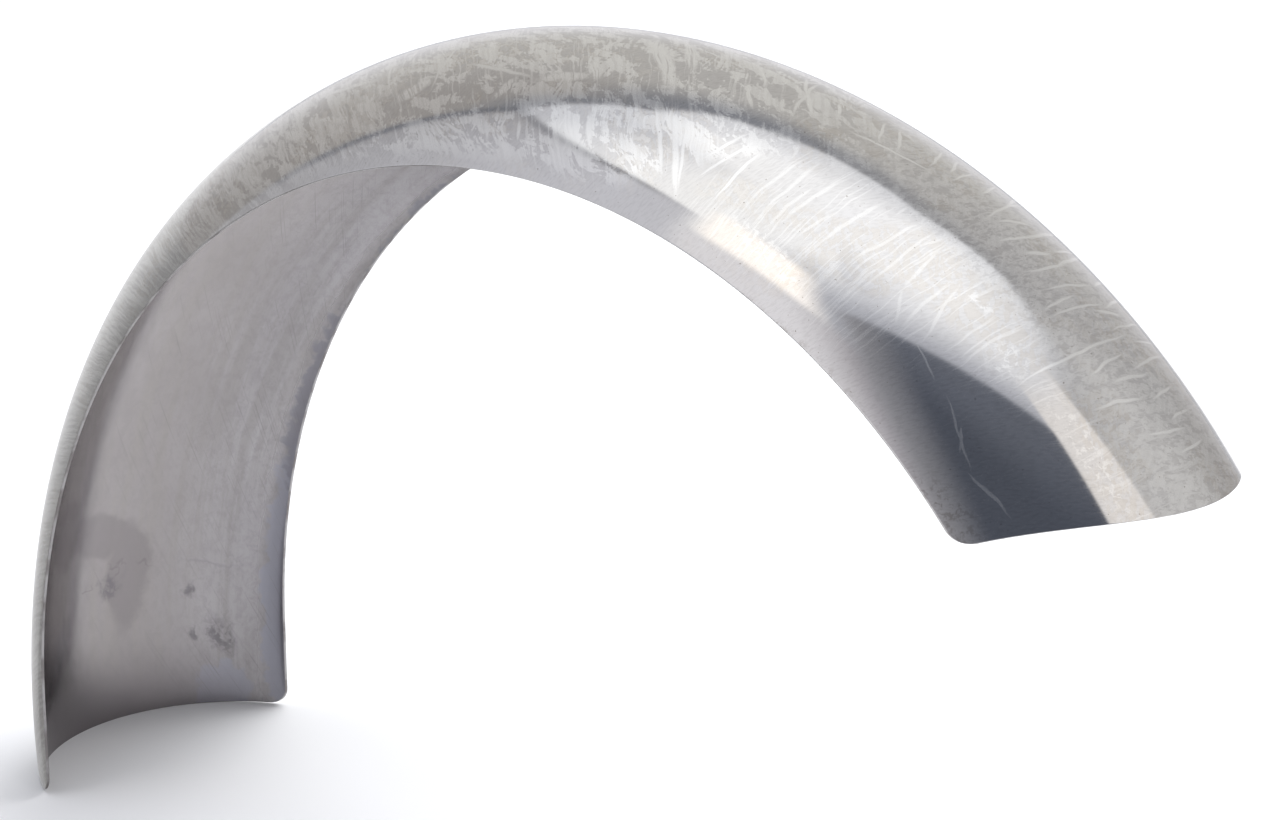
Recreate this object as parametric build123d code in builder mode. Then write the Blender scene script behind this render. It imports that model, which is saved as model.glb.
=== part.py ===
# Rear fender for a motorcycle: one bare steel sheet, rolled to a round crown,
# bent along the wheel and trimmed in side view.
# Frame: the wheel's axle is the Y axis, +X runs to the tail and +Z is up, in the riding position.
import os
from math import cos, radians, sin

from build123d import *

# Sheet and cross-section, in millimetres and degrees
sheet = 1.5  # thickness of the steel
inside_radius = 340.0  # from the axle to the inside of the crown
overall_width = 150.0  # outside of one lip to outside of the other
crown_half_angle = 66.8  # the crown's round turns this far from its top to each lip
lip_bend = 6.8  # outside radius of the bend from the crown to the upright lip

# Rim of the skirts: an arc whose centre lies a little off the axle, then an upright run at the front
skirt_depth = 43.4  # crown top to rim where the skirts are shallowest
rim_offset = 12.1  # axle to the centre of the rim arc
rim_lean = -12.6  # way of that offset, from +Z towards +X
front_upright = 45.9  # length of the upright run, below the rim arc

# Ends, as angles from +Z towards +X: at the crown about the axle, at the rim about the rim's centre
front_crown_angle = -95.9
tail_crown_angle = 52.4
tail_rim_angle = 49.3
tail_hollow = 2.9  # the tail's cut is this far out of straight, into the sheet

# Corner radii, in side view
front_corner = 8.0
tail_corner = 11.0

# Sizes that follow from the ones above
crown_radius = inside_radius + sheet
bend_sine = sin(radians(crown_half_angle))
section_radius = (overall_width / 2 - lip_bend * (1 - bend_sine)) / bend_sine
rim_radius = crown_radius - skirt_depth - rim_offset
lip_blank = skirt_depth + 2 * rim_offset  # more than the trim needs
trim_room = 2 * sheet  # the outline passes this far outside the crown


def at(radius, angle, centre=(0, 0)):
    """Point of the side view at a radius and an angle from +Z towards +X."""
    return (centre[0] + radius * sin(radians(angle)), centre[1] + radius * cos(radians(angle)))


rim_centre = at(rim_offset, rim_lean)

with BuildPart() as fender:
    # Section of the sheet, drawn below the axle so that the seam of the revolve is trimmed away
    with BuildSketch(Plane.YZ.rotated((180, 0, 0))) as section:
        with BuildLine():
            crown = CenterArc(
                (0, crown_radius - section_radius),
                section_radius,
                90 - crown_half_angle,
                2 * crown_half_angle,
            )
            for end, way in ((0, -1), (1, 1)):
                bend = JernArc(
                    start=crown @ end,
                    tangent=(crown % end) * way,
                    radius=lip_bend,
                    arc_size=way * (90 - crown_half_angle),
                )
                Line(bend @ 1, bend @ 1 - Vector(0, lip_blank))
            offset(amount=sheet, side=Side.LEFT, kind=Kind.ARC)
        make_face()
    revolve(axis=Axis.Y, revolution_arc=360)

    # Side view of the finished fender, cut through both skirts at once
    with BuildSketch(Plane.XZ) as outline:
        with BuildLine():
            front_crown = at(crown_radius, front_crown_angle)
            front_outside = at(crown_radius + trim_room, front_crown_angle)
            arc_end = at(rim_radius, -90, rim_centre)
            front_rim = (arc_end[0], arc_end[1] - front_upright)
            tail_crown = at(crown_radius, tail_crown_angle)
            tail_outside = at(crown_radius + trim_room, tail_crown_angle)
            tail_rim = at(rim_radius, tail_rim_angle, rim_centre)
            top = (front_crown_angle + tail_crown_angle) / 2
            Line(front_rim, front_crown)
            Line(front_crown, front_outside)
            ThreePointArc(front_outside, at(crown_radius + trim_room, top), tail_outside)
            Line(tail_outside, tail_crown)
            SagittaArc(tail_rim, tail_crown, tail_hollow)
            ThreePointArc(tail_rim, at(rim_radius, top, rim_centre), arc_end)
            Line(arc_end, front_rim)
        make_face()
        fillet(outline.vertices().sort_by_distance(front_rim)[0], radius=front_corner)
        fillet(outline.vertices().sort_by_distance(tail_rim)[0], radius=tail_corner)
    extrude(amount=overall_width, both=True, mode=Mode.INTERSECT)

fender.part.label = "rear_fender"

os.makedirs("parts", exist_ok=True)
export_step(fender.part, "parts/rear_fender.step")
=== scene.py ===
"""Motorcycle rear fender: one bare steel sheet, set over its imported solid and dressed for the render."""

import bpy
import numpy as np
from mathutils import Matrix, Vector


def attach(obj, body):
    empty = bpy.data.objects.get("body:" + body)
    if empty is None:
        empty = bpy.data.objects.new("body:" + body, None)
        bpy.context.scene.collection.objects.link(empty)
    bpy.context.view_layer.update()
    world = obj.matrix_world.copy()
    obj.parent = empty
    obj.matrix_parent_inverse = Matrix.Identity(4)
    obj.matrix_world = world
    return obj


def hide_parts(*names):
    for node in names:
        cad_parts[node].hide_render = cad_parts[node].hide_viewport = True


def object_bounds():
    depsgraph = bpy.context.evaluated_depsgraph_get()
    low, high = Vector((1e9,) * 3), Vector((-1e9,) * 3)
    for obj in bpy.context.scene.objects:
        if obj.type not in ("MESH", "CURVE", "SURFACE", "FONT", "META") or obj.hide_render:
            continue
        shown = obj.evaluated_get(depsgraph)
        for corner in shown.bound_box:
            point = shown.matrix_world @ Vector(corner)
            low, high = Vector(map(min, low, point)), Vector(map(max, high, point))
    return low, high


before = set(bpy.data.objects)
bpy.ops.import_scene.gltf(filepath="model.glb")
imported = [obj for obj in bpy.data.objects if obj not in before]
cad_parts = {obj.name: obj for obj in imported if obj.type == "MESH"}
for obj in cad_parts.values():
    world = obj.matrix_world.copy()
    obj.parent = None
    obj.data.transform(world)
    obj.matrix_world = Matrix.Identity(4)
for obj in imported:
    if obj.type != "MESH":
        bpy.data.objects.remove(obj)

cad_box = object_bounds()
scene = bpy.context.scene

# Sizes of the sheet, in metres and radians, as in the solid
MM = 0.001
DEG = np.pi / 180
SHEET = 1.5 * MM
CROWN_RADIUS = 341.5 * MM
OVERALL_WIDTH = 150.0 * MM
CROWN_HALF_ANGLE = np.radians(66.8)
LIP_BEND = 6.8 * MM
SKIRT_DEPTH = 43.4 * MM
RIM_OFFSET = 12.1 * MM
RIM_LEAN = np.radians(-12.6)
FRONT_UPRIGHT = 45.9 * MM
FRONT_CROWN = np.radians(-95.9)
TAIL_CROWN, TAIL_RIM = np.radians([52.4, 49.3])
TAIL_HOLLOW = 2.9 * MM
FRONT_CORNER = 8.0 * MM
TAIL_CORNER = 11.0 * MM
STRAIGHT_BOW = 0.001 * MM
EDGE_BULGE = 0.3 * MM
LIP_TURN = np.pi / 2 - CROWN_HALF_ANGLE
LIP_INSET = LIP_BEND * (1 - np.sin(CROWN_HALF_ANGLE))
SECTION_RADIUS = (OVERALL_WIDTH / 2 - LIP_INSET) / np.sin(CROWN_HALF_ANGLE)
RIM_RADIUS = CROWN_RADIUS - SKIRT_DEPTH - RIM_OFFSET

# Mesh density of the sheet: its rows, how much they draw together at the borders, the steps over its edge
ROWS_ALONG, ROWS_HALF = 420, 44
END_CLOSENESS, RIM_CLOSENESS, CLOSENESS_RATE = 0.93, 0.9, 18
EDGE_STEPS = 9
# Points on the lines that the rows are laid between, and the table that looks up the section
CUT_POINTS, CORNER_POINTS, UPRIGHT_POINTS, ARC_POINTS = 2001, 201, 1001, 4001
SECTION_POINTS, SECTION_REACH = 6000, 140 * MM
# Name of the map of the sheet's own lengths, along and across, in metres
SHEET_MAP = "sheet"


def polar(radius, angle, centre=(0.0, 0.0)):
    """Side-view point (x, z) at a radius and an angle from +Z towards +X."""
    return np.stack([centre[0] + radius * np.sin(angle), centre[1] + radius * np.cos(angle)], axis=-1)


def section(run):
    """Half-section at arc length run from the crown: a round of SECTION_RADIUS, then a bend of LIP_BEND
    to upright, then a straight lip. Gives the distance out from the middle, the depth below the crown
    and the turn of the skin."""
    round_turn = np.minimum(run / SECTION_RADIUS, CROWN_HALF_ANGLE)
    past = run - SECTION_RADIUS * CROWN_HALF_ANGLE
    turn = round_turn + np.clip(past / LIP_BEND, 0, LIP_TURN)
    straight = np.maximum(past - LIP_BEND * LIP_TURN, 0)
    out = SECTION_RADIUS * np.sin(round_turn) + LIP_BEND * (np.sin(turn) - np.sin(round_turn))
    depth = SECTION_RADIUS * (1 - np.cos(round_turn)) + LIP_BEND * (np.cos(round_turn) - np.cos(turn))
    return out, depth + straight, turn


def circle_meet(centre_a, radius_a, centre_b, radius_b, near):
    """The meeting point of two circles that lies nearest to a given point."""
    gap = centre_b - centre_a
    span = np.hypot(*gap)
    along = (span ** 2 + radius_a ** 2 - radius_b ** 2) / (2 * span)
    across = np.sqrt(radius_a ** 2 - along ** 2)
    middle = centre_a + gap / span * along
    side = np.array([-gap[1], gap[0]]) / span * across
    both = np.stack([middle + side, middle - side])
    return both[np.argmin(np.hypot(*(both - near).T))]


def arc_between(centre, start, end, count):
    """Points on the short arc about a centre from one point to another."""
    a, b = np.arctan2(*(start - centre)), np.arctan2(*(end - centre))
    swing = (b - a + np.pi) % (2 * np.pi) - np.pi
    return polar(np.hypot(*(start - centre)), a + swing * np.linspace(0, 1, count), centre)


def cut_circle(start, end, hollow):
    """Centre and radius of the arc from start to end that bows by hollow to the left of that way."""
    chord = end - start
    length = np.hypot(*chord)
    radius = length ** 2 / (8 * hollow) + hollow / 2
    left = np.array([-chord[1], chord[0]]) / length
    return (start + end) / 2 - left * (radius - hollow), radius


def corner_lines(crown, rim_corner, cut, rim, corner):
    """Side-view lines of one end: the cut from the crown down to the middle of its rounded corner, and
    the other half of that corner to the rim. The cut and the rim are circles, each a centre and a radius,
    and the corner is a circle that touches both from outside."""
    ball = circle_meet(cut[0], cut[1] + corner, rim[0], rim[1] + corner, rim_corner)
    on_cut, on_rim = (
        centre + (ball - centre) * radius / (radius + corner) for centre, radius in (cut, rim)
    )
    turn = arc_between(ball, on_cut, on_rim, CORNER_POINTS)
    half = CORNER_POINTS // 2
    line = np.concatenate([arc_between(cut[0], crown, on_cut, CUT_POINTS), turn[1:half + 1]])
    return line, turn[half:]


def side_outline():
    """Side-view lines of the trimmed sheet: front cut, tail cut and rim, each as (x, z) points. The tail
    cut is hollow. The front cut and the upright run above it are straight, each a circle of very small
    bow."""
    rim_centre = polar(RIM_OFFSET, RIM_LEAN)
    arc_end = rim_centre - np.array([RIM_RADIUS, 0])
    front_top, front_low = polar(CROWN_RADIUS, FRONT_CROWN), arc_end - np.array([0, FRONT_UPRIGHT])
    tail_top, tail_low = polar(CROWN_RADIUS, TAIL_CROWN), polar(RIM_RADIUS, TAIL_RIM, rim_centre)
    front_circle = cut_circle(front_top, front_low, STRAIGHT_BOW)
    upright_circle = cut_circle(front_low, arc_end, STRAIGHT_BOW)
    tail_circle = cut_circle(tail_low, tail_top, TAIL_HOLLOW)
    rim_circle = (rim_centre, RIM_RADIUS)
    front_cut, front_turn = corner_lines(front_top, front_low, front_circle, upright_circle, FRONT_CORNER)
    tail_cut, tail_turn = corner_lines(tail_top, tail_low, tail_circle, rim_circle, TAIL_CORNER)
    upright = np.linspace(front_turn[-1], arc_end, UPRIGHT_POINTS)[1:-1]
    arc = arc_between(rim_centre, arc_end, tail_turn[-1], ARC_POINTS)[:-1]
    return front_cut, tail_cut, np.concatenate([front_turn, upright, arc, tail_turn[::-1]])


def packed(count, start, end):
    """Steps from 0 to 1 that draw together at the start and the end by the given shares."""
    w = np.linspace(0, 1, count)
    step = 1 - start * np.exp(-w * CLOSENESS_RATE) - end * np.exp((w - 1) * CLOSENESS_RATE)
    total = np.concatenate([[0], np.cumsum((step[1:] + step[:-1]) / 2)])
    return total / total[-1]


def half_skin(below):
    """Angle and arc length over one half of a skin. The angle goes by shares u from the front cut to the
    tail cut, and the arc length by shares v from the crown to the rim, so that each row at a border runs
    with the edge there."""
    front, tail, rim = side_outline()
    runs = np.linspace(0, SECTION_REACH, SECTION_POINTS)
    _, depth, turn = section(runs)
    reach = CROWN_RADIUS - depth - below * np.cos(turn)
    rim_angle, rim_run = np.arctan2(*rim.T), np.interp(-np.hypot(*rim.T), -reach, runs)
    u = packed(ROWS_ALONG, END_CLOSENESS, END_CLOSENESS)[:, None]
    v = packed(ROWS_HALF, 0.0, RIM_CLOSENESS)[None, :]

    def cut_angle(line, run):
        """The angle of an end cut at an arc length from the crown."""
        return np.interp(-np.interp(run, runs, reach), -np.hypot(*line.T), np.arctan2(*line.T))

    front_angle, tail_angle = cut_angle(front, v * rim_run[0]), cut_angle(tail, v * rim_run[-1])
    low_angle = rim_angle[0] + u * (rim_angle[-1] - rim_angle[0])
    low_run = np.interp(low_angle, rim_angle, rim_run)
    return (1 - u) * front_angle + u * tail_angle, v * low_run


def skin(below):
    """Points and (along, across) lengths of a whole skin: each half turned about the wheel's axle, which
    puts a section point (out, depth) at (r sin angle, out, r cos angle) with r the crown radius less the
    depth."""
    angle, run = half_skin(below)
    angle = np.concatenate([angle[:, :0:-1], angle], axis=1)
    run = np.concatenate([-run[:, :0:-1], run], axis=1)
    out, depth, turn = section(np.abs(run))
    radius = CROWN_RADIUS - depth - below * np.cos(turn)
    across = np.sign(run) * (out - below * np.sin(turn))
    points = np.stack([radius * np.sin(angle), across, radius * np.cos(angle)], axis=-1)
    return points, np.stack([angle * CROWN_RADIUS, run], axis=-1)


def cut_edge(outer, inner):
    """Rows of points over the cut edge, from the border of the outer skin to that of the inner one: half
    an oval of the sheet's thickness that stands out by EDGE_BULGE."""
    middle = (outer + inner) / 2
    way = np.roll(middle, -1, axis=0) - np.roll(middle, 1, axis=0)
    away = np.cross(way, outer - inner)
    away /= np.linalg.norm(away, axis=1, keepdims=True)
    share = (1 - np.cos(np.linspace(0, np.pi, EDGE_STEPS)[1:-1, None, None])) / 2
    bulge = EDGE_BULGE * np.sqrt(1 - (2 * share - 1) ** 2)
    return outer * (1 - share) + inner * share + away * bulge


def grid_faces(index):
    """Quads of a grid of vertex numbers."""
    corners = [index[:-1, :-1], index[1:, :-1], index[1:, 1:], index[:-1, 1:]]
    return np.stack(corners, axis=-1).reshape(-1, 4)


def new_piece(name, points, faces):
    """A mesh object in the scene, at the origin."""
    mesh = bpy.data.meshes.new(name)
    mesh.from_pydata(points, [], faces)
    piece = bpy.data.objects.new(name, mesh)
    scene.collection.objects.link(piece)
    return piece


def fender_sheet(name):
    """The sheet as one closed mesh: outer skin, inner skin and the cut edge between them, with a finish
    for each in that order, and its own lengths as a map."""
    grids = [*skin(0.0), *skin(SHEET)]
    rows, columns = grids[0].shape[:2]
    count = rows * columns
    outer, outer_place, inner, inner_place = (grid.reshape(count, -1) for grid in grids)
    index = np.arange(count).reshape(rows, columns)
    border = np.concatenate([index[:-1, 0], index[-1, :-1], index[:0:-1, -1], index[0, :0:-1]])
    edge = cut_edge(outer[border], inner[border])
    between = 2 * count + np.arange(len(edge) * len(border)).reshape(len(edge), -1)
    strip = np.concatenate([border[None], between, count + border[None]])
    strip = np.concatenate([strip, strip[:, :1]], axis=1)
    parts = [grid_faces(index), grid_faces(index + count)[:, ::-1], grid_faces(strip)]
    faces = np.concatenate(parts)
    finish = np.repeat([0, 1, 2], [len(part) for part in parts])
    points = np.concatenate([outer, inner, edge.reshape(-1, 3)])
    edge_place = np.tile(outer_place[border], (len(edge), 1))
    places = np.concatenate([outer_place, inner_place, edge_place])
    piece = new_piece(name, points, faces.tolist())
    mesh = piece.data
    mesh.polygons.foreach_set("use_smooth", np.ones(len(faces), bool))
    mesh.polygons.foreach_set("material_index", finish.astype(np.int32))
    layer = mesh.uv_layers.new(name=SHEET_MAP)
    corner = np.empty(len(mesh.loops), np.int32)
    mesh.loops.foreach_get("vertex_index", corner)
    layer.data.foreach_set("uv", places[corner].astype(np.float32).ravel())
    mesh.update()
    return piece


def linear(code):
    """An sRGB hex colour as linear RGBA."""
    c = np.array([int(code[i:i + 2], 16) for i in (1, 3, 5)]) / 255
    c = np.where(c <= 0.04045, c / 12.92, ((c + 0.055) / 1.055) ** 2.4)
    return (*c.tolist(), 1.0)


def glow(code, level):
    """A colour of light: the linear value of an sRGB hex colour, times a level."""
    return tuple(level * c for c in linear(code)[:3]) + (1.0,)


def connect(tree, node, inputs):
    """Links each given input of a node to a socket, or sets it to a value."""
    for key, value in inputs.items():
        if isinstance(value, bpy.types.NodeSocket):
            tree.links.new(value, node.inputs[key])
        else:
            node.inputs[key].default_value = value


def add(tree, kind, inputs, out=0, **settings):
    """Adds a shader node with its settings and inputs, and gives one of its outputs."""
    node = tree.nodes.new("ShaderNode" + kind)
    for key, value in settings.items():
        setattr(node, key, value)
    connect(tree, node, inputs)
    return node.outputs[out]


# Settings that nodes share: a soft step, a mix of colours, a pattern on the flat sheet, four sums
SOFT = {"interpolation_type": "SMOOTHSTEP"}
COLOUR = {"out": 2, "data_type": "RGBA"}
FLAT = {"noise_dimensions": "2D"}
TIMES = {"operation": "MULTIPLY"}
TIMES_PLUS = {"operation": "MULTIPLY_ADD"}
MOST = {"operation": "MAXIMUM"}
LEAST = {"operation": "MINIMUM"}


def new_material(name):
    """A material with its node tree and its shader."""
    material = bpy.data.materials.new(name)
    material.use_nodes = True
    return material, material.node_tree, material.node_tree.nodes["Principled BSDF"]


def pattern(tree, place, size, angle=0.0, detail=2.0, grain=0.55):
    """Noise whose features have a size (length, width) in millimetres, with the length turned by an
    angle in degrees from the way along the sheet."""
    turn, scale = (0, 0, np.radians(angle)), (size[0] * MM, size[1] * MM, 1)
    laid = add(tree, "Mapping", {0: place, 2: turn, 3: scale}, vector_type="TEXTURE")
    return add(tree, "TexNoise", {0: laid, 2: 1.0, 3: detail, 4: grain}, **FLAT)


def wander(tree, place, size, reach):
    """The place pushed about by noise, both lengths in millimetres, so that what is laid on it has
    uneven edges."""
    noise = add(tree, "TexNoise", {0: place, 2: 1 / (size * MM), 3: 2.0, 4: 0.6}, 1, **FLAT)
    centred = add(tree, "VectorMath", {0: noise, 1: (0.5, 0.5, 0.5)}, operation="SUBTRACT")
    push = (reach * MM, reach * MM, 0)
    return add(tree, "VectorMath", {0: centred, 1: push, 2: place}, **TIMES_PLUS)


def ovals(tree, place, marks, edge):
    """The greatest of some oval marks, each from one end to the other (along, across, along, across,
    half width) in millimetres. Each falls from 1 inside to 0 at its border over the given share of its
    radius."""
    whole = None
    for mark in marks:
        start, end = np.array(mark[0:2]), np.array(mark[2:4])
        middle, way = (start + end) / 2 * MM, (end - start) * MM
        turn, radii = (0, 0, np.arctan2(way[1], way[0])), (np.hypot(*way) / 2, mark[4] * MM, 1)
        laid_by = {1: (*middle, 0), 2: turn, 3: radii}
        laid = add(tree, "Mapping", {0: place, **laid_by}, vector_type="TEXTURE")
        ball = add(tree, "TexGradient", {0: laid}, 1, gradient_type="SPHERICAL")
        whole = add(tree, "Math", {0: ball, 1: 0.0 if whole is None else whole}, **MOST)
    return add(tree, "MapRange", {0: whole, 1: 0.0, 2: edge}, **SOFT)


# Broad torn tufts of film on the crown
FILM_TUFTS = [
    (10, 3, 57, -40, 4.5), (25, 6, 52, -23, 3.0), (6, -28, 19, -42, 3.6), (-12, -47, 16, -39, 3.6),
    (-25, -60, -19, -45, 3.2), (-85, -61, -64, -45, 5.0), (-112, -52, -86, -66, 3.6),
    (-157, -56, -134, -64, 4.0), (-214, -38, -176, -63, 4.5), (-190, -64, -158, -79, 3.6),
    (-157, -38, -98, -41, 2.2), (-137, -55, -103, -65, 1.9), (-92, -33, -68, -35, 1.7),
    (-244, -42, -203, -70, 2.6),
]
# Places on the crown where the film was wiped away
BARE_PATCHES = [
    (-70, -50, -15, -52, 12), (-132, -46, -100, -50, 9), (-20, -25, 10, -24, 7), (30, -19, 80, -24, 9),
    (65, -22, 112, -28, 8), (-90, -30, -40, -36, 8), (-250, -70, -150, -70, 9), (-60, -62, 0, -60, 6),
]
# Thin strokes that a rag drew through the film: on the front of the crown, over the tail and down the flank
FRONT_STROKES = [
    (-118, -10, -83, -62, 1.0), (-73, -16, -62, -58, 0.9), (-58, -38, -6, -47, 1.4),
    (-229, -49, -203, -70, 1.5), (-232, -68, -219, -80, 1.1), (50, -43, 78, -72, 1.3),
    (58, -42, 91, -77, 1.9), (64, -40, 89, -74, 1.0), (26, -53, 38, -71, 1.7), (17, -56, 19, -70, 0.9),
    (24, -56, 26, -80, 1.3), (81, 19, 102, -26, 1.1), (83, 18, 81, -4, 1.1), (95, -34, 85, -61, 1.0),
    (102, -33, 89, -66, 1.0), (105, -38, 102, -73, 1.0), (5, -7, 4, -29, 1.1), (-11, -63, -11, -73, 0.9),
    (-23, -65, -15, -77, 1.3), (-27, -64, -27, -75, 0.9), (-5, -65, 1, -75, 1.1),
    (-50, -68, -28, -76, 1.1),
]
TAIL_STROKES = [
    (169, 38, 178, 14, 1.0), (139, 24, 150, -1, 1.1), (146, 26, 156, 3, 1.0), (156, 24, 159, -1, 0.9),
    (174, 36, 181, -8, 1.0), (189, 23, 182, -1, 1.1), (191, 40, 194, 2, 1.1), (195, 18, 190, -12, 0.9),
    (202, 36, 202, 12, 0.8), (203, 16, 199, -5, 1.4), (203, 41, 211, -1, 1.2), (216, 38, 220, 20, 0.9),
    (220, 25, 216, -12, 0.9), (225, 40, 231, 10, 1.0), (235, 26, 230, 4, 1.3), (229, 22, 226, -21, 0.8),
    (223, 8, 223, -20, 0.9), (239, 38, 240, 3, 0.8), (244, 28, 243, -54, 0.9), (249, 36, 247, 13, 0.8),
    (254, 35, 258, -3, 0.9), (261, 12, 259, -15, 1.1), (266, 23, 270, -2, 0.9), (269, 1, 264, -30, 1.1),
    (112, -12, 158, 0, 1.0), (84, 4, 108, -17, 1.2), (69, -13, 87, -28, 1.3), (99, 7, 110, -8, 1.1),
    (118, 14, 131, -9, 1.1), (124, 17, 139, -7, 1.0), (58, 8, 80, -14, 1.2), (76, 15, 94, -6, 1.1),
    (162, 30, 170, 6, 1.0), (210, 20, 206, -14, 1.0), (250, 8, 254, -24, 0.9), (276, 24, 279, 2, 0.9),
    (284, 14, 281, -16, 1.0), (290, 20, 292, -6, 0.9),
]
FLANK_STROKES = [
    (112, -30, 116, -40, 1.0), (120, -30, 115, -70, 1.0), (125, -28, 124, -68, 1.1),
    (139, -27, 132, -66, 1.2), (132, -39, 129, -70, 1.1), (156, -23, 149, -68, 1.2),
    (146, -45, 141, -65, 0.9), (171, -20, 165, -65, 1.0), (176, -19, 177, -68, 0.9),
    (182, -21, 177, -37, 0.8), (182, -27, 188, -53, 1.0), (187, -50, 197, -64, 1.0),
    (186, -19, 184, -32, 0.9), (196, -34, 199, -65, 1.1), (198, -32, 210, -63, 1.0),
    (173, -53, 172, -67, 0.9), (226, -22, 223, -58, 0.9), (161, -23, 162, -32, 0.9),
]
# Long pale scratches on the bare flank by the tail
TAIL_SCRATCHES = [
    (207, -62, 224, -67, 0.5), (228, -66, 262, -76, 0.6), (243, -68, 252, -75, 0.7),
    (258, -77, 285, -73, 0.8),
]
# Flank by the tail that was rubbed clean, and the mottled film left between it and the crown
CLEAN_FLANK = [(170, -112, 350, -56, 44)]
TAIL_FLECKS = [
    (222, -46, 246, -36, 12), (240, -37, 318, -37, 9), (200, -36, 220, -32, 5), (100, -70, 172, -76, 10),
]
# Grime on the near lip: by the tail's corner, and in a thin line before it
LIP_GRIME = [(232, -97, 300, -86, 11), (60, -97, 240, -93, 7)]


def wiped_steel(name):
    """Cold-rolled mild steel, bare, under a thin dried film of oil that a rag was drawn through: a fairly
    clear mirror, greyer where it is bare, with paler torn islands on the crown and thin pale strokes
    across it."""
    material, tree, shader = new_material(name)
    place = add(tree, "UVMap", {}, uv_map=SHEET_MAP)
    drawn = wander(tree, place, 24, 4)
    torn = wander(tree, drawn, 3.2, 2.2)
    along, across = add(tree, "SeparateXYZ", {0: place}).node.outputs[:2]
    outward = add(tree, "Math", {0: across}, operation="ABSOLUTE")
    # Stretches along the sheet, and how far out from the middle the film reaches on each
    front = add(tree, "MapRange", {0: along, 1: -60 * MM, 2: -140 * MM}, **SOFT)
    leg = add(tree, "MapRange", {0: along, 1: -120 * MM, 2: -280 * MM}, **SOFT)
    behind = add(tree, "MapRange", {0: along, 1: 40 * MM, 2: 140 * MM}, **SOFT)
    crusted = add(tree, "MapRange", {0: along, 1: 70 * MM, 2: 175 * MM}, **SOFT)
    reach = add(tree, "MapRange", {0: behind, 3: 79 * MM, 4: 22 * MM})
    reach = add(tree, "Math", {0: leg, 1: 40 * MM, 2: reach}, **TIMES_PLUS)
    past = add(tree, "Math", {0: outward, 1: reach}, operation="SUBTRACT")
    crown = add(tree, "MapRange", {0: past, 1: 12 * MM, 2: 0.0}, **SOFT)
    # Torn film: slanting shreds in front, islands on top, a fine crust behind
    combed = pattern(tree, wander(tree, place, 70, 46), (24, 1.3), -48, 3)
    shreds = pattern(tree, torn, (20, 5.5), -40, 6, 0.68)
    shreds = add(tree, "Math", {0: combed, 1: 0.3, 2: shreds}, **TIMES_PLUS)
    shreds = add(tree, "MapRange", {0: shreds, 1: 0.62, 2: 0.642, 4: 0.92}, **SOFT)
    wiped = ovals(tree, drawn, BARE_PATCHES, 0.9)
    islands = pattern(tree, torn, (25, 10), -12, 6, 0.69)
    islands = add(tree, "Math", {0: wiped, 1: -0.1, 2: islands}, **TIMES_PLUS)
    islands = add(tree, "Math", {0: combed, 1: 0.26, 2: islands}, **TIMES_PLUS)
    islands = add(tree, "MapRange", {0: islands, 1: 0.625, 2: 0.643, 4: 0.92}, **SOFT)
    crust = pattern(tree, torn, (6, 3.6), 80, 6, 0.76)
    crust = add(tree, "MapRange", {0: crust, 1: 0.465, 2: 0.505, 4: 0.55}, **SOFT)
    film = add(tree, "Mix", {0: front, 2: islands, 3: shreds})
    film = add(tree, "Mix", {0: crusted, 2: film, 3: crust})
    hairs = pattern(tree, drawn, (44, 1.5), -50)
    fibres = add(tree, "MapRange", {0: hairs, 1: 0.36, 2: 0.58, 3: 0.7}, **SOFT)
    film = add(tree, "Math", {0: film, 1: fibres}, **TIMES)
    film = add(tree, "Math", {0: film, 1: crown}, **TIMES)
    # Crinkled film in patches, with a brown border
    crinkle = pattern(tree, torn, (5, 2.6), -30, 3, 0.6)
    patchy = pattern(tree, place, (46, 30), 20)
    patchy = add(tree, "MapRange", {0: patchy, 1: 0.45, 2: 0.62}, **SOFT)
    worms = add(tree, "MapRange", {0: crinkle, 1: 0.52, 2: 0.57, 4: 0.55}, **SOFT)
    fewer = add(tree, "MapRange", {0: behind, 3: 1.0, 4: 0.25})
    fewer = add(tree, "Math", {0: patchy, 1: fewer}, **TIMES)
    worms = add(tree, "Math", {0: worms, 1: fewer}, **TIMES)
    film = add(tree, "Math", {0: film, 1: worms}, **MOST)
    border = add(tree, "MapRange", {0: crinkle, 1: 0.44, 2: 0.53, 4: 0.45}, **SOFT)
    border = add(tree, "Math", {0: border, 1: patchy}, **TIMES)
    # Fine streaks: aslant in front and combed down the leg, straight across behind
    combed_leg = add(tree, "MapRange", {0: hairs, 1: 0.4, 2: 0.57, 4: 0.75}, **SOFT)
    on_leg = add(tree, "Math", {0: leg, 1: 0.65}, **TIMES)
    film = add(tree, "Mix", {0: on_leg, 2: film, 3: combed_leg})
    slant = add(tree, "MapRange", {0: hairs, 1: 0.56, 2: 0.68, 4: 0.55}, **SOFT)
    slant = add(tree, "Math", {0: slant, 1: crown}, **TIMES)
    square = pattern(tree, drawn, (40, 1.2), 87)
    square = add(tree, "MapRange", {0: square, 1: 0.56, 2: 0.68, 4: 0.42}, **SOFT)
    streaks = add(tree, "Mix", {0: behind, 2: slant, 3: square})
    film = add(tree, "Math", {0: film, 1: streaks}, **MOST)
    # Tufts, drawn out by the rag's threads, and strokes
    threads = pattern(tree, drawn, (30, 0.9), -48)
    threads = add(tree, "MapRange", {0: threads, 1: 0.38, 2: 0.5, 3: 0.25}, **SOFT)
    tufts = add(tree, "Math", {0: ovals(tree, torn, FILM_TUFTS, 0.5), 1: threads}, **TIMES)
    film = add(tree, "Math", {0: film, 1: tufts}, **MOST)
    for marks, strength in ((FRONT_STROKES, 0.9), (TAIL_STROKES, 1.0), (FLANK_STROKES, 0.5)):
        strokes = add(tree, "Math", {0: ovals(tree, drawn, marks, 0.6), 1: strength}, **TIMES)
        film = add(tree, "Math", {0: film, 1: strokes}, **MOST)
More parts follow.
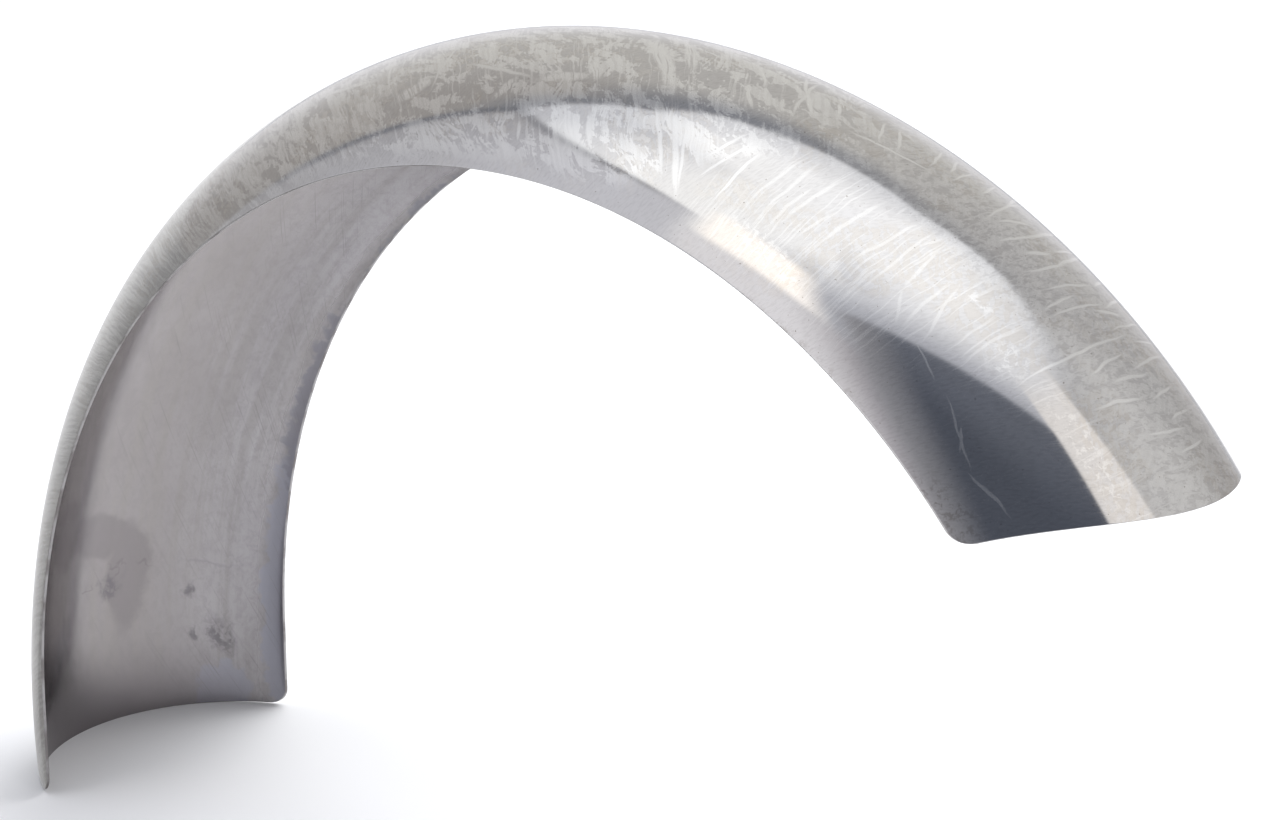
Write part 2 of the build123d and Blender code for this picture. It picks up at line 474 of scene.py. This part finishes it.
    # The lips and the flank by the tail are nearly clean
    left = add(tree, "MapRange", {0: along, 1: -20 * MM, 2: -240 * MM, 3: 0.2, 4: 0.7})
    lip = add(tree, "MapRange", {0: outward, 1: 75 * MM, 2: 90 * MM, 3: 1.0, 4: left}, **SOFT)
    clean = add(tree, "MapRange", {0: ovals(tree, place, CLEAN_FLANK, 0.35), 3: 1.0, 4: 0.06})
    clean = add(tree, "Math", {0: clean, 1: lip}, **TIMES)
    film = add(tree, "Math", {0: film, 1: clean}, **TIMES)
    border = add(tree, "Math", {0: border, 1: clean}, **TIMES)
    # Flecks and scratches by the tail, small rust specks, grime on the lip
    flecks = pattern(tree, torn, (4, 3), 0, 5, 0.75)
    flecks = add(tree, "MapRange", {0: flecks, 1: 0.52, 2: 0.6, 4: 0.75}, **SOFT)
    flecks = add(tree, "Math", {0: flecks, 1: ovals(tree, drawn, TAIL_FLECKS, 0.8)}, **TIMES)
    film = add(tree, "Math", {0: film, 1: flecks}, **MOST)
    scratches = add(tree, "Math", {0: ovals(tree, drawn, TAIL_SCRATCHES, 0.5), 1: 0.7}, **TIMES)
    film = add(tree, "Math", {0: film, 1: scratches}, **MOST)
    specks = add(tree, "MapRange", {0: pattern(tree, place, (1.8, 1.3)), 1: 0.76, 2: 0.8}, **SOFT)
    grime = pattern(tree, torn, (6, 4), 20, 5, 0.78)
    grime = add(tree, "MapRange", {0: grime, 1: 0.5, 2: 0.6, 4: 0.55}, **SOFT)
    grime = add(tree, "Math", {0: grime, 1: ovals(tree, drawn, LIP_GRIME, 0.8)}, **TIMES)
    specks = add(tree, "Math", {0: specks, 1: grime}, **MOST)
    # Colour
    cloud = pattern(tree, place, (70, 50))
    grain = pattern(tree, place, (3, 0.9), 62, 3)
    grain = add(tree, "MapRange", {0: grain, 1: 0.42, 2: 0.7, 4: 0.3}, **SOFT)
    steel = add(tree, "Mix", {0: cloud, 6: linear("#bfbdb9"), 7: linear("#c7c6c6")}, **COLOUR)
    for share, colour in ((grain, "#aaa8a6"), (border, "#b7b0a6"), (film, "#dad9d6"), (specks, "#8d8781")):
        steel = add(tree, "Mix", {0: share, 6: steel, 7: linear(colour)}, **COLOUR)
    # Gloss: fine hairlines in the bare steel, a little duller film
    hairlines = pattern(tree, place, (34, 0.5), 64)
    hairlines = add(tree, "MapRange", {0: hairlines, 1: 0.5, 2: 0.75, 3: 0.07, 4: 0.11}, **SOFT)
    connect(tree, shader, {
        "Base Color": steel,
        "Metallic": add(tree, "MapRange", {0: film, 3: 1.0, 4: 0.9}),
        "Roughness": add(tree, "MapRange", {0: film, 3: hairlines, 4: 0.115}),
        "Normal": add(tree, "Bump", {0: 1.0, 1: 0.1 * MM, 2: pattern(tree, place, (90, 60))}),
    })
    return material


# Stains inside, near the front end: a tide mark round a dark core with spots and fine lines, the blued and
# the dirty stretch of the far lip, and the low front end by the floor, darkened by grime and by painted
# shade
TIDE_MARK = [(-533, 17, -464, 17, 14), (-486, 30, -462, -32, 13), (-490, -24, -446, -24, 14)]
DARK_CORES = [
    (-514, 8, -492, 8, 9), (-519, 51, -507, 50, 5.5), (-541, 51, -530, 51, 3), (-552, 71, -520, 61, 9),
]
TIDE_LINE = [
    (-497, 33, -495, 19, 0.9), (-495, 18, -489, 2, 0.8), (-500, -1, -501, -13, 0.8),
    (-507, 8, -486, 14, 0.7),
]
PALE_LINE = [(-496, 88, -496, 30, 1.4)]
BLUED_LIP = [(-640, 102, -400, 95, 14), (-585, 52, -552, 74, 14)]
DIRTY_LIP = [(-470, 100, -290, 97, 13), (-345, 99, -110, 96, 12)]
# Grime and painted shade: a broad darkening of the inside over its low front end, by the floor
GRIME_AND_SHADE_LOW_END = [(-578, -130, -578, 130, 50)]


def mill_steel(name):
    """The same sheet inside, as it came from the mill and the rollers: satin, warm grey with a trace of
    purple, with a painted sheen that lightens it towards the far lip, clouded by oil stains, darkened at
    the low front end by grime and painted shade, drawn out in faint streaks along the sheet and scored by
    a few fine scratches."""
    material, tree, shader = new_material(name)
    place = add(tree, "UVMap", {}, uv_map=SHEET_MAP)
    across = add(tree, "SeparateXYZ", {0: place}, 1)
    uneven = wander(tree, wander(tree, place, 30, 9), 5, 3.5)
    ragged = wander(tree, uneven, 7, 10)
    # Bare steel with its clouds, streaks and mottling, and a painted sheen that lightens it towards the far
    # lip
    cloud = pattern(tree, uneven, (75, 40), 0, 4)
    # Painted sheen: from the middle to the far lip the steel is mixed towards a lighter copy of itself
    painted_far_lip_sheen = add(tree, "MapRange", {0: across, 1: 20 * MM, 2: 82 * MM}, **SOFT)
    streaks = pattern(tree, place, (150, 8), 1, 6, 0.66)
    streaks = add(tree, "MapRange", {0: streaks, 1: 0.38, 2: 0.66, 4: 0.45}, **SOFT)
    mottle = pattern(tree, uneven, (7, 4), 0, 7, 0.8)
    mottle = add(tree, "MapRange", {0: mottle, 1: 0.44, 2: 0.62, 4: 0.25}, **SOFT)
    steel = add(tree, "Mix", {0: cloud, 6: linear("#979291"), 7: linear("#a9a5a5")}, **COLOUR)
    # The lighter copy of the steel that the painted sheen mixes in towards the far lip
    clean = add(tree, "Mix", {0: cloud, 6: linear("#b2aeb0"), 7: linear("#c8c5c6")}, **COLOUR)
    steel = add(tree, "Mix", {0: painted_far_lip_sheen, 6: steel, 7: clean}, **COLOUR)
    steel = add(tree, "Mix", {0: streaks, 6: steel, 7: linear("#a09c98")}, **COLOUR)
    steel = add(tree, "Mix", {0: mottle, 6: steel, 7: linear("#938e8f")}, **COLOUR)
    # Stains, the dark ones broken into blotches, grime with painted shade at the low end, and fine scores
    # over them
    blotches = pattern(tree, uneven, (6, 5), 0, 5, 0.7)
    blotches = add(tree, "MapRange", {0: blotches, 1: 0.42, 2: 0.56, 3: 0.2, 4: 0.7}, **SOFT)
    for marks, laid, edge, depth, colour in (
        (BLUED_LIP, ragged, 0.2, 0.8, "#b4b5c0"), (DIRTY_LIP, ragged, 0.25, 0.8, "#9d9ca4"),
        (TIDE_MARK, uneven, 0.35, 0.65, "#8b8687"), (GRIME_AND_SHADE_LOW_END, uneven, 0.9, 0.9, "#8c8789"),
        (DARK_CORES, ragged, 0.8, blotches, "#757176"), (TIDE_LINE, ragged, 0.8, 0.6, "#827b7e"),
        (PALE_LINE, uneven, 1.0, 0.4, "#989498"),
    ):
        stain = add(tree, "Math", {0: ovals(tree, laid, marks, edge), 1: depth}, **TIMES)
        steel = add(tree, "Mix", {0: stain, 6: steel, 7: linear(colour)}, **COLOUR)
    scores = pattern(tree, place, (60, 0.6), -28)
    scores = add(tree, "MapRange", {0: scores, 1: 0.66, 2: 0.74, 4: 0.5}, **SOFT)
    steel = add(tree, "Mix", {0: scores, 6: steel, 7: linear("#8f8a8b")}, **COLOUR)
    # Gloss: satin, and dull on the lips
    satin = pattern(tree, place, (24, 9), 0, 3)
    satin = add(tree, "MapRange", {0: satin, 1: 0.3, 2: 0.7, 3: 0.17, 4: 0.25})
    outward = add(tree, "Math", {0: across}, operation="ABSOLUTE")
    connect(tree, shader, {
        "Base Color": steel,
        "Metallic": 1.0,
        "Roughness": add(tree, "MapRange", {0: outward, 1: 82 * MM, 2: 92 * MM, 3: satin, 4: 0.5}),
        "Normal": add(tree, "Bump", {0: 1.0, 1: 0.15 * MM, 2: pattern(tree, place, (80, 45))}),
    })
    return material


def sheared_edge(name):
    """The cut edge of the sheet: sheared and filed steel, fairly bright, with a darker burr in places."""
    material, tree, shader = new_material(name)
    place = add(tree, "UVMap", {}, uv_map=SHEET_MAP)
    burr = add(tree, "MapRange", {0: pattern(tree, place, (16, 3), 0, 4), 1: 0.4, 2: 0.65}, **SOFT)
    connect(tree, shader, {
        "Base Color": add(tree, "Mix", {0: burr, 6: linear("#a9a7a7"), 7: linear("#858180")}, **COLOUR),
        "Metallic": 1.0,
        "Roughness": add(tree, "MapRange", {0: burr, 3: 0.3, 4: 0.42}),
    })
    return material


fender = fender_sheet("fender_sheet")
for finish in (
    wiped_steel("cold_rolled_steel_wiped"), mill_steel("cold_rolled_steel_mill"),
    sheared_edge("sheared_steel_edge"),
):
    fender.data.materials.append(finish)
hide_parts("rear_fender")
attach(fender, "root")

# Camera: aimed from the near side and a little above
AIM = np.array([0.0155, 0.0, 0.5566]) * CROWN_RADIUS
AZIMUTH, ELEVATION = np.radians([41.05, 16.64])
DISTANCE = 3.9456 * CROWN_RADIUS
FOCAL_PIXELS = 3371.8
FRAME_PIXELS = 1280
SENSOR = 36.0
level_share = np.cos(ELEVATION)
back = np.array([np.sin(AZIMUTH) * level_share, -np.cos(AZIMUTH) * level_share, np.sin(ELEVATION)])
lens = bpy.data.cameras.new("camera")
lens.sensor_width = SENSOR
lens.lens = FOCAL_PIXELS / FRAME_PIXELS * SENSOR
camera = bpy.data.objects.new("camera", lens)
camera.location = AIM + back * DISTANCE
camera.rotation_euler = (np.pi / 2 - ELEVATION, 0.0, AZIMUTH)
scene.collection.objects.link(camera)
scene.camera = camera
scene.view_settings.view_transform = "Standard"


def white_paper(name):
    """Matt white paper, a little brighter than the light alone makes it."""
    material, tree, shader = new_material(name)
    connect(tree, shader, {
        "Base Color": linear("#dfe0e2"), "Roughness": 0.9, "Specular IOR Level": 0.0,
        "Emission Color": linear("#ffffff"), "Emission Strength": 0.04,
    })
    return material


# Floor under the front end
FLOOR_HALF = 20.0
FLOOR_CORNERS = ((-1, -1), (1, -1), (1, 1), (-1, 1))
floor_z = cad_box[0][2]
floor_points = [(x * FLOOR_HALF, y * FLOOR_HALF, floor_z) for x, y in FLOOR_CORNERS]
floor = new_piece("floor", floor_points, [(0, 1, 2, 3)])
floor.data.materials.append(white_paper("white_paper"))

# Lamp behind and above the object: it lights the paper, and its own face isn't seen in the steel
LAMP_SIDE, LAMP_POWER = 2.4, 68.0
LAMP_PLACE = (-0.25, 1.5, 1.87)
lamp_light = bpy.data.lights.new("tent_lamp", "AREA")
lamp_light.size = LAMP_SIDE
lamp_light.energy = LAMP_POWER
lamp = bpy.data.objects.new("tent_lamp", lamp_light)
lamp.location = LAMP_PLACE
lamp.rotation_euler = (-np.arctan2(LAMP_PLACE[1], LAMP_PLACE[2]), 0.0, 0.0)
lamp.visible_glossy = False
scene.collection.objects.link(lamp)

# Grey card before the front end, seen only in the steel: upright, with a foot that lies on the floor up
# to the outer skin. It is dark on the near side, lighter towards the far side and lightest past it.
CARD_X, CARD_NEAR, CARD_FAR, CARD_HEIGHT = -0.46, -0.5, 0.25, 0.30
CARD_FOOT_RUN, CARD_FOOT_POINTS, CARD_GAP = 98.5 * MM, 61, 0.5 * MM
CARD_SHADE, CARD_LEVELS = (-0.09, 0.03), (0.45, 0.9)
CARD_PALE, CARD_GAIN = (0.03, 0.22), 0.3


def card_paper(name):
    """A card that gives off its own light, by its place from the near to the far side."""
    material, tree, shader = new_material(name)
    place = add(tree, "SeparateXYZ", {0: add(tree, "TexCoord", {}, 3)}, 1)
    shade_stops = {1: CARD_SHADE[0], 2: CARD_SHADE[1], 3: CARD_LEVELS[0], 4: CARD_LEVELS[1]}
    shade = add(tree, "MapRange", {0: place, **shade_stops})
    pale = add(tree, "MapRange", {0: place, 1: CARD_PALE[0], 2: CARD_PALE[1], 4: CARD_GAIN})
    connect(tree, shader, {
        "Base Color": linear("#000000"), "Specular IOR Level": 0.0, "Emission Color": linear("#eeeef0"),
        "Emission Strength": add(tree, "Math", {0: shade, 1: pale}, operation="ADD"),
    })
    return material


foot_run = np.linspace(-CARD_FOOT_RUN, CARD_FOOT_RUN, CARD_FOOT_POINTS)
foot_out, foot_depth, _ = section(np.abs(foot_run))
foot = list(zip(foot_depth - CROWN_RADIUS - CARD_GAP, np.sign(foot_run) * foot_out))
foot = [(foot[0][0], CARD_NEAR), *foot, (foot[-1][0], CARD_FAR)]
card_corners = [(CARD_X, y, floor_z + z) for z in (CARD_HEIGHT, CARD_GAP) for y in (CARD_NEAR, CARD_FAR)]
card_foot = range(len(card_corners), len(card_corners) + len(foot))
card_corners += [(x, y, floor_z + CARD_GAP) for x, y in foot]
card = new_piece("grey_card", card_corners, [(0, 1, 3, 2), (3, 2, *card_foot)])
card.data.materials.append(card_paper("grey_card"))
card.visible_camera = False
card.visible_diffuse = False
card.visible_shadow = False

# Fold along the top of the tent's far wall, from beyond the tail round to the front, where it drops. Each
# stretch has its two azimuths from the far side towards the front, its heights there, and how it meets
# the stretch before it.
FOLD_STRETCHES = (
    (-72, -22, 59, 58.3, MOST), (-22, -5, 58.3, 67, MOST), (-5, 45, 67, 68, LEAST),
    (45, 84, 68, 62, LEAST), (88, 102, 59.5, 46, LEAST),
)
# Azimuth and steepness of the straight near edge of the tent's roof
ROOF_TURN, ROOF_HEIGHT = 47 * DEG, 59 * DEG


def studio_light():
    """A white light tent: bright overhead, grey walls with soft folds along their top, a warm and a cool
    panel on the near side and the dark room past its open side. Directions are an azimuth from the near
    side towards the tail and a height, both in radians."""
    world = bpy.data.worlds.new("studio")
    world.use_nodes = True
    world.cycles.sampling_method = "NONE"
    scene.world = world
    tree = world.node_tree
    direction = add(tree, "TexCoord", {})
    x, y, z = add(tree, "SeparateXYZ", {0: direction}).node.outputs
    near = add(tree, "Math", {0: y, 1: -1.0}, **TIMES)
    rear = add(tree, "Math", {0: x, 1: -1.0}, **TIMES)
    turn = add(tree, "Math", {0: x, 1: near}, operation="ARCTAN2")
    far_turn = add(tree, "Math", {0: rear, 1: y}, operation="ARCTAN2")
    height = add(tree, "Math", {0: z}, operation="ARCSINE")

    def span(value, start, end, soft_start, soft_end):
        """A soft-edged stretch of a direction, in degrees."""
        rise_stops = {1: (start - soft_start) * DEG, 2: (start + soft_start) * DEG}
        fall_stops = {1: (end + soft_end) * DEG, 2: (end - soft_end) * DEG}
        rise = add(tree, "MapRange", {0: value, **rise_stops}, **SOFT)
        fall = add(tree, "MapRange", {0: value, **fall_stops}, **SOFT)
        return add(tree, "Math", {0: rise, 1: fall}, **TIMES)

    fold = None
    for start, end, low, high, joined in FOLD_STRETCHES:
        stops = {1: start * DEG, 2: end * DEG, 3: low * DEG, 4: high * DEG}
        slope = add(tree, "MapRange", {0: far_turn, **stops}, clamp=False)
        fold = slope if fold is None else add(tree, "Math", {0: fold, 1: slope}, **joined)
    under_fold = add(tree, "Math", {0: height, 1: fold}, operation="SUBTRACT")
    # Roof: brightest in the middle, dimmer towards the far wall, the front and its own straight near edge
    edge_way = np.array([np.sin(ROOF_TURN), -np.cos(ROOF_TURN), 0]) * np.sin(ROOF_HEIGHT)
    edge_way[2] = -np.cos(ROOF_HEIGHT)
    under_roof = add(tree, "VectorMath", {0: direction, 1: edge_way}, 1, operation="DOT_PRODUCT")
    from_edge = add(tree, "MapRange", {0: under_roof, 1: -0.025, 2: -0.23})
    from_wall = add(tree, "MapRange", {0: under_fold, 1: 0.0, 2: 16 * DEG, 3: 0.38})
    from_front = add(tree, "MapRange", {0: turn, 1: -74 * DEG, 2: -40 * DEG, 3: 0.2})
    aloft = add(tree, "MapRange", {0: height, 1: 56 * DEG, 2: 72 * DEG})
    from_front = add(tree, "Math", {0: from_front, 1: aloft}, **MOST)
    middle = add(tree, "Math", {0: from_edge, 1: from_wall}, **LEAST)
    middle = add(tree, "Math", {0: middle, 1: from_front}, **LEAST)
    light = add(tree, "Mix", {0: middle, 6: glow("#e8ebf6", 0.92), 7: glow("#f6f7fa", 1.78)}, **COLOUR)
    # Strip past the tail, a little dimmer than the roof
    below = add(tree, "MapRange", {0: height, 1: 64 * DEG, 2: 57 * DEG}, **SOFT)
    strip = add(tree, "Math", {0: span(turn, 75, 111.5, 1.2, 1.0), 1: below}, **TIMES)
    light = add(tree, "Mix", {0: strip, 6: light, 7: glow("#f4f1f0", 1.42)}, **COLOUR)
    # Far wall under the fold, dimmer towards the front and the tail
    wall = span(far_turn, -72, 102, 1.0, 1.0)
    frontward = add(tree, "MapRange", {0: far_turn, 1: 52 * DEG, 2: 92 * DEG}, **SOFT)
    tailward = add(tree, "MapRange", {0: far_turn, 1: 24 * DEG, 2: -8 * DEG}, **SOFT)
    past_tail = add(tree, "MapRange", {0: far_turn, 1: -14 * DEG, 2: -40 * DEG}, **SOFT)
    upward = add(tree, "MapRange", {0: height, 1: 4 * DEG, 2: 26 * DEG}, **SOFT)
    high_wall = add(tree, "Mix", {0: tailward, 6: glow("#f0eeeb", 0.83), 7: glow("#f0eff0", 0.72)}, **COLOUR)
    high_wall = add(tree, "Mix", {0: frontward, 6: high_wall, 7: glow("#eeeae8", 0.62)}, **COLOUR)
    high_wall = add(tree, "Mix", {0: past_tail, 6: high_wall, 7: glow("#f0eff0", 0.94)}, **COLOUR)
    low_wall = add(tree, "Mix", {0: tailward, 6: glow("#f1f0f3", 1.0), 7: glow("#efecec", 0.58)}, **COLOUR)
    low_wall = add(tree, "Mix", {0: frontward, 6: low_wall, 7: glow("#efecec", 0.5)}, **COLOUR)
    wall_light = add(tree, "Mix", {0: upward, 6: low_wall, 7: high_wall}, **COLOUR)
    soft_stops = {1: -12 * DEG, 2: -50 * DEG, 3: 1.4 * DEG, 4: 5 * DEG}
    above_soft = add(tree, "MapRange", {0: far_turn, **soft_stops})
    below_soft = add(tree, "Math", {0: above_soft, 1: -1.2}, **TIMES)
    below = add(tree, "MapRange", {0: under_fold, 1: above_soft, 2: below_soft}, **SOFT)
    below = add(tree, "Math", {0: wall, 1: below}, **TIMES)
    light = add(tree, "Mix", {0: below, 6: light, 7: wall_light}, **COLOUR)
    deeper = add(tree, "MapRange", {0: far_turn, 1: -40 * DEG, 2: 40 * DEG, 3: 0.2}, **SOFT)
    crease = add(tree, "Math", {0: span(under_fold, -8.0, 0.2, 6.5, 1.2), 1: deeper}, **TIMES)
    crease = add(tree, "Math", {0: crease, 1: wall}, **TIMES)
    light = add(tree, "Mix", {0: crease, 6: light, 7: glow("#e2e6f2", 0.46)}, **COLOUR)
    # Near wall at the front: cool grey under a thin fold, and the corner where it meets the far wall
    side = span(turn, -78, -29, 1, 2)
    below = add(tree, "MapRange", {0: height, 1: 46.6 * DEG, 2: 45.4 * DEG}, **SOFT)
    below = add(tree, "Math", {0: side, 1: below}, **TIMES)
    inward = add(tree, "MapRange", {0: turn, 1: -76 * DEG, 2: -40 * DEG})
    side_light = add(tree, "Mix", {0: inward, 6: glow("#e8e8ee", 0.72), 7: glow("#e6e7f0", 1.2)}, **COLOUR)
    light = add(tree, "Mix", {0: below, 6: light, 7: side_light}, **COLOUR)
    fading = add(tree, "MapRange", {0: turn, 1: -29 * DEG, 2: -44 * DEG}, **SOFT)
    thin_fold = add(tree, "Math", {0: fading, 1: span(height, 44.7, 46.4, 0.8, 0.6)}, **TIMES)
    thin_fold = add(tree, "Math", {0: side, 1: thin_fold}, **TIMES)
    light = add(tree, "Mix", {0: thin_fold, 6: light, 7: glow("#e4e6f0", 0.55)}, **COLOUR)
    corner = span(turn, -79.5, -76.8, 1.0, 1.2)
    corner = add(tree, "Math", {0: corner, 1: span(height, 16, 46, 6, 1)}, **TIMES)
    light = add(tree, "Mix", {0: corner, 6: light, 7: glow("#d6dae8", 0.40)}, **COLOUR)
    # Below the near edge of the tent: grey that darkens towards the open side, then a warm panel over it
    below = add(tree, "MapRange", {0: height, 1: 42 * DEG, 2: 36 * DEG}, **SOFT)
    low_front = add(tree, "Math", {0: span(turn, -29, 2, 2, 5), 1: below}, **TIMES)
    inward = add(tree, "MapRange", {0: turn, 1: -15 * DEG, 2: -1 * DEG}, **SOFT)
    front_light = add(tree, "Mix", {0: inward, 6: glow("#ecebf0", 1.5), 7: glow("#e4e1e9", 0.85)}, **COLOUR)
    light = add(tree, "Mix", {0: low_front, 6: light, 7: front_light}, **COLOUR)
    panel = add(tree, "Math", {0: span(turn, -27, -8, 2, 4), 1: span(height, 39, 52, 2, 2)}, **TIMES)
    light = add(tree, "Mix", {0: panel, 6: light, 7: glow("#fffaf6", 2.0)}, **COLOUR)
    # Dark room past the open side, under the straight edge of the tent's roof
    room = add(tree, "MapRange", {0: under_roof, 1: -0.008, 2: 0.014}, **SOFT)
    room = add(tree, "Math", {0: room, 1: span(turn, -2, 76, 4, 1.2)}, **TIMES)
    above = add(tree, "MapRange", {0: height, 1: 3 * DEG, 2: 9 * DEG}, **SOFT)
    room = add(tree, "Math", {0: room, 1: above}, **TIMES)
    inward = add(tree, "MapRange", {0: turn, 1: -4 * DEG, 2: 16 * DEG}, **SOFT)
    upward = add(tree, "MapRange", {0: height, 1: 38 * DEG, 2: 54 * DEG}, **SOFT)
    room_light = add(tree, "Mix", {0: upward, 6: glow("#bac4dc", 0.24), 7: glow("#c2cade", 0.36)}, **COLOUR)
    room_light = add(tree, "Mix", {0: inward, 6: glow("#d6d6de", 0.68), 7: room_light}, **COLOUR)
    light = add(tree, "Mix", {0: room, 6: light, 7: room_light}, **COLOUR)
    tree.links.new(light, tree.nodes["Background"].inputs["Color"])


studio_light()
